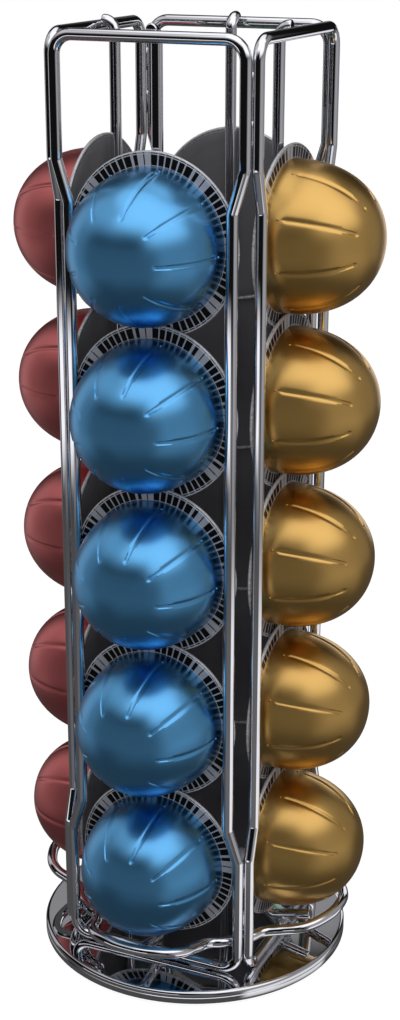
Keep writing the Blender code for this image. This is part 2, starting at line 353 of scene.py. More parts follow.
def grow(name, guide, tree, values):
    holder = add_object(name + "_guide", guide)
    modifier = holder.modifiers.new("grow", "NODES")
    modifier.node_group = tree
    for item in tree.interface.items_tree:
        if item.in_out == "INPUT" and item.name in values:
            modifier[item.identifier] = values[item.name]
    shown = bpy.context.evaluated_depsgraph_get()
    shown.update()
    mesh = bpy.data.meshes.new_from_object(holder.evaluated_get(shown), depsgraph=shown)
    mesh.name = name
    bpy.data.objects.remove(holder)
    bpy.data.meshes.remove(guide)
    return mesh


def fit_piece(name, mesh, body, nodes):
    piece = add_object(name, mesh)
    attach(piece, body)
    if nodes:
        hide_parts(*nodes)
    return piece


print("helpers ready")

# %% [markdown]
# ## Bent wire
#
# A bending tool turns a straight wire round a former, so every corner becomes
# an arc. The tree does the same: it takes the straight runs between corners,
# rounds each corner by the radius stored on it, and sweeps a circle along the
# result. The free ends of a rod are deburred, which a second stored number
# does by thinning the wire over its last few tenths of a millimetre.

# %% Wire tree
def wire_section(tree, sizes):
    radius = math_node(tree, "MULTIPLY", sizes["Diameter"], 0.5)
    return node(tree, "GeometryNodeCurvePrimitiveCircle", {"mode": "RADIUS"}, {
        "Resolution": sizes["Sides"], "Radius": radius}).outputs[0]


def wire_tree():
    tree, sizes = new_tree("bent_wire", (
        ("Diameter", "Float"), ("Sides", "Int"), ("Steps in a Bend", "Int"), ("Finish", "Material")))
    path = node(tree, "GeometryNodeMeshToCurve", links={"Mesh": sizes["Geometry"]})
    sized = node(tree, "GeometryNodeSetCurveRadius", links={
        "Curve": path.outputs[0], "Radius": stored(tree, "swell")})
    bent = node(tree, "GeometryNodeFilletCurve", {"mode": "POLY"}, {
        "Curve": sized.outputs[0], "Count": sizes["Steps in a Bend"],
        "Radius": stored(tree, "bend"), "Limit Radius": True})
    thickness = node(tree, "GeometryNodeInputRadius")
    swept = node(tree, "GeometryNodeCurveToMesh", links={
        "Curve": bent.outputs[0], "Profile Curve": wire_section(tree, sizes), "Fill Caps": True,
        "Scale": thickness.outputs[0]})
    return end_tree(tree, swept, (sizes["Finish"], True))


bent_wire = wire_tree()
print("tree", bent_wire.name, "has", len(bent_wire.nodes), "nodes")

# %% [markdown]
# ## Window frames
#
# Each slot is framed by one closed wire that stands upright on the disc. It is
# wide at the top and bottom, where a capsule's 62 mm rim goes in, and kinked
# narrower between, so that the rims can only slide down behind it. The sizes
# are the ones the solid model uses.

# %% Frames
WIRE = 0.004
WELD_GAP = 0.0003
FACE_OUT = 0.0369
WIDE_HALF = FACE_OUT - (WIRE + WELD_GAP) / math.sqrt(2)
NARROW_HALF = 0.02964
CORNER_BEND = 0.0065
KINK_BEND = 0.005
LOW_BAR_Z = 0.0092
TOP_BAR_Z = 0.3435
# Heights between which the legs slant
LOW_KINK_Z = (0.0545, 0.0670)
TOP_KINK_Z = (0.2895, 0.3035)
SIDES = {"front": 0, "right": 90, "back": 180, "left": 270}


def turned(mesh, side):
    mesh.transform(Matrix.Rotation(math.radians(SIDES[side]), 4, "Z"))
    return mesh


def wire(name, points, closed, bends, swells):
    guide = guide_mesh(name, points, closed, {"bend": bends, "swell": swells})
    return grow(name, guide, bent_wire, {
        "Diameter": WIRE, "Sides": 24, "Steps in a Bend": 10, "Finish": wire_chrome})


right_leg = [
    (WIDE_HALF, LOW_BAR_Z, CORNER_BEND), (WIDE_HALF, LOW_KINK_Z[0], KINK_BEND),
    (NARROW_HALF, LOW_KINK_Z[1], KINK_BEND), (NARROW_HALF, TOP_KINK_Z[0], KINK_BEND),
    (WIDE_HALF, TOP_KINK_Z[1], KINK_BEND), (WIDE_HALF, TOP_BAR_Z, CORNER_BEND)]
loop = right_leg + [(-side, z, bend) for side, z, bend in reversed(right_leg)]
for side in SIDES:
    mesh = wire("window_frame_" + side, [(x, -FACE_OUT, z) for x, z, _ in loop], True,
                [bend for _, _, bend in loop], [1.0] * len(loop))
    piece = fit_piece("window_frame_" + side, turned(mesh, side), "carousel",
                      ["frame_" + side])
print("one frame has", len(piece.data.polygons), "faces")

# %% [markdown]
# ## Back rods
#
# Behind each slot a single rod keeps the foil lids from falling inwards. Its
# top is hooked over the top bar, and its lower end crosses the bottom bar and
# rises outwards by fourteen degrees, as the foot that the lowest rim rests on.

# %% Rods
ROD_OUT = 0.0302
ROD_BEND = 0.004
HOOK_RISE = 0.002
FOOT_SLOPE = math.radians(14)
FOOT_END_OUT = 0.049
FOOT_BEND_Z = LOW_BAR_Z + (
    ROD_BEND + WIRE + WELD_GAP - math.sin(FOOT_SLOPE) * (FACE_OUT - ROD_OUT - ROD_BEND)
) / math.cos(FOOT_SLOPE)
# Distance from the cut end and the share of full thickness there
DEBURR = ((0.0, 0.78), (0.00012, 0.9), (0.0003, 0.97), (0.0006, 1.0))


def deburred(points, bends):
    first, last = Vector(points[0]), Vector(points[-1])
    inward = (Vector(points[1]) - first).normalized()
    back = (Vector(points[-2]) - last).normalized()
    start = [first + inward * away for away, _ in DEBURR]
    end = [last + back * away for away, _ in reversed(DEBURR)]
    swells = [share for _, share in DEBURR]
    rounds = [0.0] * len(DEBURR)
    middle = [Vector(p) for p in points[1:-1]]
    return (start + middle + end, rounds + bends[1:-1] + rounds,
            swells + [1.0] * len(middle) + swells[::-1])


top_z = TOP_BAR_Z + HOOK_RISE
low_z = FOOT_BEND_Z - ROD_BEND * (1 + math.sin(FOOT_SLOPE)) / math.cos(FOOT_SLOPE)
foot_z = low_z + (FOOT_END_OUT - ROD_OUT) * math.tan(FOOT_SLOPE)
rod = [(0, -(FACE_OUT - WIRE / 2 - WELD_GAP), top_z), (0, -ROD_OUT, top_z),
       (0, -ROD_OUT, low_z), (0, -FOOT_END_OUT, foot_z)]
for side in SIDES:
    points, bends, swells = deburred(rod, [0, ROD_BEND, ROD_BEND, 0])
    mesh = wire("back_rod_" + side, points, False, bends, swells)
    fit_piece("back_rod_" + side, turned(mesh, side), "carousel", ["rod_" + side])
print("one rod has", len(mesh.polygons), "faces")

# %% [markdown]
# ## Stop ring
#
# One closed wire is welded inside all eight legs. Under every column it swings
# out to a lobe that rises towards its tip, and the nose of the lowest capsule
# lies behind it. A ring like this is bent freehand over pins, so it has no
# straight runs: the tree lays a smooth Bezier curve through the pins' places.

# %% Ring tree
def ring_tree():
    tree, sizes = new_tree("pinned_ring", (
        ("Diameter", "Float"), ("Sides", "Int"), ("Steps between Pins", "Int"), ("Finish", "Material")))
    path = node(tree, "GeometryNodeMeshToCurve", links={"Mesh": sizes["Geometry"]})
    bezier = node(tree, "GeometryNodeCurveSplineType", {"spline_type": "BEZIER"}, {
        "Curve": path.outputs[0]})
    eased = node(tree, "GeometryNodeCurveSetHandles", {
        "handle_type": "AUTO", "mode": {"LEFT", "RIGHT"}}, {"Curve": bezier.outputs[0]})
    fine = node(tree, "GeometryNodeSetSplineResolution", links={
        "Geometry": eased.outputs[0], "Resolution": sizes["Steps between Pins"]})
    swept = node(tree, "GeometryNodeCurveToMesh", links={
        "Curve": fine.outputs[0], "Profile Curve": wire_section(tree, sizes)})
    return end_tree(tree, swept, (sizes["Finish"], True))


pinned_ring = ring_tree()
print("tree", pinned_ring.name, "has", len(pinned_ring.nodes), "nodes")

# %% Ring
RING_LOW_Z = 0.0194
RING_RISE = 0.0041
RISE_POWER = 1.3
SHOULDER_HALF = 0.0278
SHOULDER_OUT = 0.0362
NECK_HALF = 0.0236
NECK_OUT = 0.0386
LOBE_HALF = 0.0207
LOBE_START_OUT = 0.0448
LOBE_END_OUT = 0.0603
ring_corner = (WIDE_HALF + FACE_OUT) / 2 - (WIRE + WELD_GAP) / math.sqrt(2)


def pin(side, out):
    rise = max(0, (out - NECK_OUT) / (LOBE_END_OUT - NECK_OUT))
    return Vector((side, -out, RING_LOW_Z + RING_RISE * rise ** RISE_POWER))


half_lobe = [pin(SHOULDER_HALF, SHOULDER_OUT), pin(NECK_HALF, NECK_OUT)]
for step in range(3):
    angle = math.radians(30 * step)
    half_lobe.append(pin(LOBE_HALF * math.cos(angle),
                         LOBE_START_OUT + (LOBE_END_OUT - LOBE_START_OUT) * math.sin(angle)))
lobe = [pin(ring_corner, ring_corner)] + half_lobe + [pin(0, LOBE_END_OUT)]
lobe += [Vector((-p.x, p.y, p.z)) for p in reversed(half_lobe)]
pins = [Matrix.Rotation(math.radians(turn), 3, "Z") @ p
        for turn in reversed(SIDES.values()) for p in lobe]
mesh = grow("stop_ring_wire", guide_mesh("stop_ring", pins, True), pinned_ring, {
    "Diameter": WIRE, "Sides": 24, "Steps between Pins": 8, "Finish": wire_chrome})
fit_piece("stop_ring_wire", mesh, "carousel", ["stop_ring"])
print("ring has", len(pins), "pins and", len(mesh.polygons), "faces")

# %% [markdown]
# ## Welds
#
# The wires are joined by resistance welding: two wires are pressed together,
# a current melts the touching line, and a small fillet is left in the valley
# between them. Every weld is one squashed ball, so the tree puts the same ball
# on each weld place and stretches it along the direction stored there.

# %% Weld tree
def weld_tree():
    tree, sizes = new_tree("weld_fillets", (
        ("Width", "Float"), ("Length", "Float"), ("Finish", "Material")))
    turn = node(tree, "FunctionNodeAlignRotationToVector", {"axis": "Z"}, {
        "Vector": stored(tree, "aim", "FLOAT_VECTOR")})
    stretch = joined(tree, X=sizes["Width"], Y=sizes["Width"], Z=sizes["Length"])
    ball = node(tree, "GeometryNodeMeshUVSphere", links={"Segments": 12, "Rings": 10, "Radius": 0.5})
    placed = node(tree, "GeometryNodeInstanceOnPoints", links={
        "Points": sizes["Geometry"], "Instance": ball.outputs["Mesh"],
        "Rotation": turn.outputs[0], "Scale": stretch})
    return end_tree(tree, placed, (sizes["Finish"], True))


weld_fillets = weld_tree()
LEG_WELDS_Z = (0.330, 0.315, 0.046, 0.030)
BAR_WELD_SIDE = 0.018
upright, outward, across = (0, 0, 1), (0, 1, 0), (1, 0, 0)
leg_pair = (WIDE_HALF + FACE_OUT) / 2
WELDS = [((leg_pair, -leg_pair, height), upright) for height in LEG_WELDS_Z]
# The ring on both legs, the rod on both bars, and the bottom bar on the disc
WELDS += [((WIDE_HALF - 0.0004, -(FACE_OUT - 0.0019), RING_LOW_Z), upright),
          ((-WIDE_HALF + 0.0004, -(FACE_OUT - 0.0019), RING_LOW_Z), upright),
          ((0, -(FACE_OUT - WIRE / 2), TOP_BAR_Z + 0.0012), across),
          ((0, -FACE_OUT, LOW_BAR_Z + WIRE / 2), outward),
          ((BAR_WELD_SIDE, -FACE_OUT, LOW_BAR_Z - WIRE / 2), across),
          ((-BAR_WELD_SIDE, -FACE_OUT, LOW_BAR_Z - WIRE / 2), across)]
places, aims = [], []
for side in SIDES:
    turn = Matrix.Rotation(math.radians(SIDES[side]), 3, "Z")
    places += [turn @ Vector(place) for place, _ in WELDS]
    aims += [turn @ Vector(direction) for _, direction in WELDS]
spots = bpy.data.meshes.new("weld_places")
spots.from_pydata([tuple(p) for p in places], [], [])
aim_data = spots.attributes.new("aim", "FLOAT_VECTOR", "POINT").data
aim_data.foreach_set("vector", [part for aim in aims for part in aim])
mesh = grow("weld_fillets", spots, weld_fillets, {
    "Width": 0.0015, "Length": 0.008, "Finish": wire_chrome})
fit_piece("weld_fillets", mesh, "carousel", [])
print("welds:", len(places))

# %% [markdown]
# ## Turned and pressed round pieces
#
# The disc, its rivet, the base plate, the rubber foot and the lids are all
# round. Each is one profile of radius and height pairs, turned about an axis.
# The tree rolls a flat grid up: its columns are the turn, its rows are the
# points of the profile, and the rows on the axis close by merging.

# %% Turning tree
MERGE_WITHIN = 0.000002
NO_LENGTH = 0.0000001
SHARP_ANGLE = math.radians(38)


def position(tree):
    return node(tree, "GeometryNodeInputPosition").outputs[0]


def profile_point(tree, profile, row):
    return node(tree, "GeometryNodeSampleIndex", {
        "data_type": "FLOAT_VECTOR", "domain": "POINT", "clamp": True}, {
        "Geometry": profile, "Value": position(tree), "Index": row}).outputs["Value"]


def flat_grid(tree, profile, columns):
    count = node(tree, "GeometryNodeAttributeDomainSize", {"component": "MESH"}, {"Geometry": profile})
    rows = count.outputs["Point Count"]
    grid = node(tree, "GeometryNodeMeshGrid", links={
        "Size X": 1.0, "Size Y": 1.0, "Vertices X": columns, "Vertices Y": rows})
    flat = split(tree, position(tree))
    up = math_node(tree, "ADD", flat["Y"], 0.5)
    last = math_node(tree, "SUBTRACT", rows, 1.0)
    row = math_node(tree, "ROUND", math_node(tree, "MULTIPLY", up, last))
    return grid.outputs["Mesh"], flat["X"], row


def roll_up(tree, grid, point, angle):
    rolled = node(tree, "ShaderNodeVectorRotate", {"rotation_type": "Z_AXIS"}, {
        "Vector": point, "Angle": angle})
    shaped = node(tree, "GeometryNodeSetPosition", links={
        "Geometry": grid, "Position": rolled.outputs[0]})
    return node(tree, "GeometryNodeMergeByDistance", links={
        "Geometry": shaped.outputs[0], "Distance": MERGE_WITHIN})


def turning_tree():
    tree, sizes = new_tree("turned_piece", (
        ("Segments", "Int"), ("Finish", "Material")))
    profile = sizes["Geometry"]
    columns = math_node(tree, "ADD", sizes["Segments"], 1)
    grid, turn, row = flat_grid(tree, profile, columns)
    angle = math_node(tree, "MULTIPLY", turn, 2 * math.pi)
    closed = roll_up(tree, grid, profile_point(tree, profile, row), angle)
    return end_tree(tree, closed, (sizes["Finish"], True))


turned_piece = turning_tree()


def face_outwards(mesh):
    bm = bmesh.new()
    bm.from_mesh(mesh)
    bmesh.ops.dissolve_degenerate(bm, edges=bm.edges, dist=NO_LENGTH)
    bmesh.ops.recalc_face_normals(bm, faces=bm.faces)
    bm.to_mesh(mesh)
    bm.free()
    mesh.set_sharp_from_angle(angle=SHARP_ANGLE)
    return mesh


def turned_mesh(name, profile, closed, segments, finish):
    points = [(radius, 0, height) for radius, height in profile]
    if closed:
        points.append(points[0])
    guide = guide_mesh(name, points, False)
    mesh = grow(name, guide, turned_piece, {"Segments": segments, "Finish": finish})
    return face_outwards(mesh)


def arc(centre, radius, start, end, steps):
    angles = [math.radians(start + (end - start) * i / steps) for i in range(steps + 1)]
    return [(centre[0] + radius * math.cos(a), centre[1] + radius * math.sin(a)) for a in angles]


print("tree", turned_piece.name, "has", len(turned_piece.nodes), "nodes")

# %% [markdown]
# ## Turntable disc
#
# The disc is deep-drawn from 1 mm steel: a flat top, a rolled shoulder and a
# turned-down skirt. The shoulder is bent so tightly that it gathers half the
# room into a millimetre, and this draws the bright line round the mirror. A
# fine groove runs round the skirt below it and draws a second, thinner line.

# %% Disc
DISC_R = 0.0591
DISC_TOP_Z = 0.0069
SKIRT_Z = 0.002
SHEET = 0.001
SHOULDER = 0.0015
INNER_BEND = 0.0005
GROOVE_IN = 0.00025
under = DISC_TOP_Z - SHEET
disc_profile = [(0.0031, under), (0.0031, DISC_TOP_Z), (0.0045, DISC_TOP_Z), (0.03, DISC_TOP_Z)]
disc_profile += arc((DISC_R - SHOULDER, DISC_TOP_Z - SHOULDER), SHOULDER, 90, 0, 10)
disc_profile += [(DISC_R, 0.0050), (DISC_R - GROOVE_IN, 0.0048)]
disc_profile += [(DISC_R - GROOVE_IN, 0.0046), (DISC_R, 0.0044), (DISC_R, 0.0036)]
disc_profile += arc((DISC_R - SHEET / 2, SKIRT_Z + SHEET / 2), SHEET / 2, 0, -180, 8)
disc_profile += [(DISC_R - SHEET, 0.0045)]
disc_profile += arc((DISC_R - SHEET - INNER_BEND, under - INNER_BEND), INNER_BEND, 0, 90, 4)
mesh = turned_mesh("mirror_disc", disc_profile, True, 160, disc_chrome)
fit_piece("mirror_disc", mesh, "carousel", ["turntable_disc"])
print("disc:", len(mesh.polygons), "faces")

# %% [markdown]
# ## Pivot, base plate and foot
#
# Under the disc a pressed plate stands on a rubber ring, and one rivet with a
# domed head holds plate and disc together. The balls and their cage stay as
# the solid model has them and only get their finishes.

# %% Fixed base
HEAD_R = 0.006
HEAD_Z = 0.0073
HEAD_RISE = 0.0011
head = [math.radians(90 * i / 10) for i in range(10)]
rivet = [(0, 0.0004)] + arc((0.0056, 0.0008), 0.0004, -90, 90, 6)
rivet += [(0.003, 0.0012), (0.003, 0.0072), (0.0058, 0.0072)]
rivet += [(HEAD_R * math.cos(a), HEAD_Z + HEAD_RISE * math.sin(a)) for a in head] + [(0, 0.0084)]
mesh = turned_mesh("domed_rivet", rivet, False, 64, zinc_steel)
fit_piece("domed_rivet", mesh, "base", ["pivot_rivet"])
plate = [(0.0033, 0.0015), (0.0477, 0.0015), (0.048, 0.0018), (0.048, 0.002), (0.0477, 0.0023),
         (0.0385, 0.0023), (0.038, 0.0022), (0.0355, 0.0022), (0.035, 0.0023), (0.0033, 0.0023)]
mesh = turned_mesh("pressed_base_plate", plate, True, 128, zinc_steel)
fit_piece("pressed_base_plate", mesh, "base", ["base_plate"])
foot = arc((0.0456, 0.0004), 0.0004, -90, 0, 4) + arc((0.0456, 0.0008), 0.0004, 0, 90, 4)
foot += arc((0.0404, 0.0008), 0.0004, 90, 180, 4) + arc((0.0404, 0.0004), 0.0004, 180, 270, 4)
mesh = turned_mesh("rubber_foot_ring", foot, True, 128, foot_rubber)
fit_piece("rubber_foot_ring", mesh, "base", ["foot_ring"])

for name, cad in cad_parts.items():
    if name == "ball_cage" or name.startswith("bearing_ball"):
        cad.data.materials.clear()
        cad.data.materials.append(cage_nylon if name == "ball_cage" else ball_steel)
print("base pieces: rivet, plate, foot; finished in place: balls and cage")

# %% [markdown]
# ## The capsule cup
#
# A cup is deep-drawn in one stroke: a dome with nine pressed grooves, a flat
# flange and a rolled rim. Its dome is a little fuller than half a ball, which
# a superellipse describes with two numbers. The tree turns the profile as
# before, but it crowds its columns towards every groove, where the fine shape
# is, and then presses each groove along the surface's own direction. A small
# pip, left by the drawing tool, sits at the outer end of every groove.

# %% Cup tree
FLAT_WITHIN = 0.00006
RIM_START_R = 0.0285
PRINT_R = 0.03038
# The columns close up to an eighth of their spacing at the groove
CROWDING = 1 - 1 / 8


def cup_tree():
    tree, sizes = new_tree("grooved_cup", (
        ("Grooves", "Int"), ("Columns per Groove", "Int"), ("First Groove", "Float"),
        ("Groove Half Width", "Float"), ("Groove Edge", "Float"), ("Groove Depth", "Float"),
        ("Groove Inner Radius", "Float"), ("Groove Outer Height", "Float"),
        ("Pip Radius", "Float"), ("Pip Out", "Float"), ("Pip Height", "Float"),
        ("Dome Finish", "Material"), ("Print", "Material"), ("Rim Finish", "Material")))
    profile = sizes["Geometry"]

    def maths(operation, *values):
        return math_node(tree, operation, *values)

    columns = maths("MULTIPLY_ADD", sizes["Grooves"], sizes["Columns per Groove"], 1.0)
    grid, turn, row = flat_grid(tree, profile, columns)
    turns = maths("MULTIPLY", maths("ADD", turn, 0.5), sizes["Grooves"])
    # Sector number, nudged past rounding, and the place in it: the groove is at 0
    sector = maths("FLOOR", maths("ADD", turns, 0.0001))
    inside = maths("SUBTRACT", maths("SUBTRACT", turns, sector), 0.5)
    wave = maths("SINE", maths("MULTIPLY", inside, 2 * math.pi))
    warped = maths("SUBTRACT", inside, maths("MULTIPLY", wave, CROWDING / (2 * math.pi)))
    step = maths("DIVIDE", 2 * math.pi, sizes["Grooves"])
    off_groove = maths("MULTIPLY", warped, step)
    angle = maths("ADD", maths("MULTIPLY_ADD", sector, step, off_groove), sizes["First Groove"])

    here = split(tree, profile_point(tree, profile, row))
    ahead = profile_point(tree, profile, maths("ADD", row, 1.0))
    behind = profile_point(tree, profile, maths("SUBTRACT", row, 1.0))
    along = vector_math(tree, "SUBTRACT", ahead, behind)[0]
    slope = split(tree, vector_math(tree, "NORMALIZE", along)[0])
    radius, height = here["X"], here["Z"]
    # Only the outer skin is pressed, where the profile never runs outwards
    outer_skin = maths("GREATER_THAN", maths("MULTIPLY", slope["X"], -1.0), -0.01)

    across = maths("MULTIPLY", radius, off_groove)
    past_inner = maths("MAXIMUM", maths("SUBTRACT", sizes["Groove Inner Radius"], radius), 0.0)
    past_outer = maths("MAXIMUM", maths("SUBTRACT", sizes["Groove Outer Height"], height), 0.0)
    away = vector_math(tree, "LENGTH", joined(tree, X=across, Y=past_inner, Z=past_outer))["Value"]
    floor_edge = maths("SUBTRACT", sizes["Groove Half Width"], sizes["Groove Edge"])
    pressed = remap(tree, away, sizes["Groove Half Width"], floor_edge, 0.0, 1.0, "SMOOTHSTEP")
    depth = maths("MULTIPLY", maths("MULTIPLY", pressed, sizes["Groove Depth"]), outer_skin)
    new_radius = maths("SUBTRACT", radius, maths("MULTIPLY", slope["Z"], depth))
    new_height = maths("ADD", height, maths("MULTIPLY", slope["X"], depth))
    cup = roll_up(tree, grid, joined(tree, X=new_radius, Z=new_height), angle)

    circle = node(tree, "GeometryNodeMeshCircle", links={
        "Vertices": sizes["Grooves"], "Radius": sizes["Pip Out"]})
    raised = node(tree, "GeometryNodeTransform", links={
        "Geometry": circle.outputs[0], "Translation": joined(tree, Z=sizes["Pip Height"]),
        "Rotation": joined(tree, Z=sizes["First Groove"])})
    ball = node(tree, "GeometryNodeMeshUVSphere", links={
        "Segments": 12, "Rings": 8, "Radius": sizes["Pip Radius"]})
    pips = node(tree, "GeometryNodeInstanceOnPoints", links={
        "Points": raised.outputs[0], "Instance": ball.outputs["Mesh"]})
    pips = node(tree, "GeometryNodeRealizeInstances", links={"Geometry": pips.outputs[0]})
    both = node(tree, "GeometryNodeJoinGeometry")
    tree.links.new(cup.outputs[0], both.inputs[0])
    tree.links.new(pips.outputs[0], both.inputs[0])

    spot = position(tree)
    kept = node(tree, "GeometryNodeStoreNamedAttribute", {
        "data_type": "FLOAT_VECTOR", "domain": "POINT"}, {
        "Geometry": both.outputs[0], "Name": "cup_place", "Value": spot})
    parts = split(tree, spot)
    out = vector_math(tree, "LENGTH", joined(tree, X=parts["X"], Y=parts["Y"]))["Value"]
    above = maths("GREATER_THAN", parts["Z"], FLAT_WITHIN)
    level = maths("GREATER_THAN", parts["Z"], -FLAT_WITHIN)
    # The print runs from the foot of the dome on to the inner half of the rolled rim
    flat_or_rim = maths("MAXIMUM", maths("SUBTRACT", 1.0, above), maths("GREATER_THAN", out, RIM_START_R))
    flange = maths("MULTIPLY", maths("MULTIPLY", level, flat_or_rim), maths("LESS_THAN", out, PRINT_R))
    dome = maths("MULTIPLY", above, maths("LESS_THAN", out, RIM_START_R))
    return end_tree(tree, kept, (sizes["Rim Finish"], True), (sizes["Dome Finish"], dome),
                    (sizes["Print"], flange))


grooved_cup = cup_tree()
print("tree", grooved_cup.name, "has", len(grooved_cup.nodes), "nodes")

# %% [markdown]
# The cup's profile starts inside the dome, comes out under the flange, goes
# round the rolled rim and climbs the outside of the dome to its top.

# %% Cup profile
FLANGE_R = 0.031
DOME_R = 0.0259
SKIRT_L = 0.003
DOME_H = 0.030285
WEB_T = 0.0005
CUP_WALL = 0.0006
PIP_RISE = 0.002
# Powers of the superellipse: both would be 2 on an ellipse, and more is fuller
POWER_ACROSS = 2.15
POWER_ALONG = 2.09


def dome_point(turn, shrink=0.0):
    radius = (DOME_R - shrink) * max(0.0, math.cos(turn)) ** (2 / POWER_ACROSS)
    return radius, SKIRT_L + (DOME_H - shrink) * math.sin(turn) ** (2 / POWER_ALONG)


inside = [dome_point(math.radians(90 - 90 * i / 10), CUP_WALL) for i in range(11)]
inside[0] = (0.0, inside[0][1])
# The rolled rim is a slightly flattened tube
rim = [(0.03045 + 0.00055 * math.cos(a), -0.0005 + 0.0006 * math.sin(a))
       for a in (math.radians(-180 + 330 * i / 16) for i in range(17))]
base_fillet = [(DOME_R + 0.00028, 0.0), (DOME_R + 0.00008, 0.00009), (DOME_R, 0.0003)]
skirt = [(DOME_R, 0.001), (DOME_R, 0.002)]
outside = [dome_point(math.radians(90 * i / 80)) for i in range(81)]
outside[-1] = (0.0, SKIRT_L + DOME_H)
cup_profile = inside + [(DOME_R - CUP_WALL, -WEB_T), (0.0296, -WEB_T)] + rim
cup_profile += [(0.0298, 0.0), (0.028, 0.0)] + base_fillet + skirt + outside
pip_turn = math.asin((PIP_RISE / DOME_H) ** (POWER_ALONG / 2))
print("profile points:", len(cup_profile))

# %% [markdown]
# One cup of every colour is grown, and each stack then gets its copies, moved
# to where the solid model keeps them: leaning back a little and standing on
# each other. The printed line compares the box of a finished cup with the box
# of the solid that it stands for.

# %% Cups in their places
LEAN = math.radians(1.45)
FLANGE_T = 0.0011
REST_GAP = 0.00033
FLANGE_FRONT_OUT = ROD_OUT + WIRE / 2 + WELD_GAP + FLANGE_R * math.sin(LEAN) + FLANGE_T
LOW_CAPSULE_Z = FOOT_BEND_Z + FLANGE_R * math.cos(LEAN)
CAPSULE_PITCH = (FLANGE_R + DOME_R) * math.cos(LEAN) + REST_GAP
# Sideways play of the upper capsules on each side, and of every lowest one
SIDE_SHIFT = {"front": 0.0, "right": 0.0012, "back": 0.0, "left": 0.0012}
LOW_SHIFT = 0.0005


def cup_place(side, number):
    step = 5 - number
    shift = SIDE_SHIFT[side] if step else LOW_SHIFT
    return (Matrix.Rotation(math.radians(SIDES[side]), 4, "Z")
            @ Matrix.Translation((shift, -FLANGE_FRONT_OUT, LOW_CAPSULE_Z + step * CAPSULE_PITCH))
            @ Matrix.Rotation(math.pi / 2 + LEAN, 4, "X"))


def stack_body(side, number):
    return ("low_" if number == 5 else "stack_") + side


for side, lacquer_finish in LACQUERS.items():
    guide = guide_mesh("cup_" + side, [(r, 0, h) for r, h in cup_profile], False)
    master = face_outwards(grow("cup_" + side, guide, grooved_cup, {
        "Grooves": 9, "Columns per Groove": 20, "First Groove": math.radians(-2),
        "Groove Half Width": 0.0008, "Groove Edge": 0.0004, "Groove Depth": 0.00034,
        "Groove Inner Radius": 0.0148, "Groove Outer Height": 0.0075,
        "Pip Radius": 0.0005, "Pip Out": dome_point(pip_turn)[0] - 0.0001,
        "Pip Height": SKIRT_L + PIP_RISE,
        "Dome Finish": lacquer_finish, "Print": print_black,
        "Rim Finish": rim_metal}))
    for number in range(1, 6):
        copy = master.copy()
        copy.transform(cup_place(side, number))
        name = "capsule_%s_%d" % (side, number)
        piece = fit_piece("cup_%s_%d" % (side, number), copy, stack_body(side, number),
                          [name])
    bpy.data.meshes.remove(master)
low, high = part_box("capsule_left_5")
mine = [Vector(piece.bound_box[i]) for i in (0, 6)]
print("cup faces:", len(copy.polygons), "corners off by mm:",
      [round(max(abs(c) for c in a - b) * 1000, 2) for a, b in zip(mine, (low, high))])

# %% [markdown]
# ## Foil lids
#
# The lid is sealed to the back of the flange. The seal presses a shallow step
# near the edge, and from there the foil swells back a touch to its middle, so
# the flat grey foil still catches a soft ring of light.

# %% Lids
lid_profile = [(0.0, -0.0011), (0.024, -0.00103), (0.0256, -0.00104), (0.0262, -0.0011),
               (0.0293, -0.0011), (0.0296, -0.001), (0.0296, -0.0009), (0.0293, -0.0008),
               (0.0262, -0.0008), (0.0, -0.0008)]
master = turned_mesh("foil_lid", lid_profile, False, 96, lid_foil)
for side in SIDES:
    for number in range(1, 6):
        copy = master.copy()
        copy.transform(cup_place(side, number))
        name = "lid_%s_%d" % (side, number)
        fit_piece("foil_" + name, copy, stack_body(side, number), [name])
bpy.data.meshes.remove(master)
print("lids: 20, each with", len(copy.polygons), "faces")

# %% [markdown]
# ## Floor and background
#
# The photo is cut out on white. A floor that is simply painted white and lit
# would be grey at its far side, so the floor glows by itself for the camera,
# and only the last few hundredths of its brightness come from the lamps. They
# are what the soft shadow of the rack takes away. The world is white for the
# same rays, and dimmer for the light that falls on the rack. The floor is left
# out of mirror reflections, because the tents below draw the table that the
# chrome sees.

# %% Floor and world
FLOOR_R = 4.0
FLOOR_GLOW = 0.93
ROOM_LIGHT = 0.3
WHITE = (1.0, 1.0, 1.0, 1.0)


def shown_rays(tree):
    rays = node(tree, "ShaderNodeLightPath").outputs
    first = math_node(tree, "MAXIMUM", rays["Is Camera Ray"], rays["Is Glossy Ray"])
    return math_node(tree, "MAXIMUM", first, rays["Is Transmission Ray"])


def floor_paint():
    mat, tree = new_material("white_studio_floor")
    place = node(tree, "ShaderNodeTexCoord")
    mottle = node(tree, "ShaderNodeTexNoise", links={"Vector": place.outputs["Object"], "Scale": 3.0})
    paint = node(tree, "ShaderNodeBsdfDiffuse", links={
        "Color": mixed(tree, mottle.outputs["Fac"], "#8f8f8f", "#8d8d8d")})
    glow = node(tree, "ShaderNodeEmission", links={
        "Color": WHITE, "Strength": math_node(tree, "MULTIPLY", shown_rays(tree), FLOOR_GLOW)})
    both = node(tree, "ShaderNodeAddShader", links={0: paint.outputs[0], 1: glow.outputs[0]})
    finish_material(tree, both)
    return mat


turns = [2 * math.pi * i / 96 for i in range(96)]
circle = [(FLOOR_R * math.cos(a), FLOOR_R * math.sin(a), 0.0) for a in turns]
mesh = bpy.data.meshes.new("studio_floor")
mesh.from_pydata(circle, [], [tuple(range(len(circle)))])
mesh.materials.append(floor_paint())
floor = add_object("studio_floor", mesh)
floor.visible_glossy = False

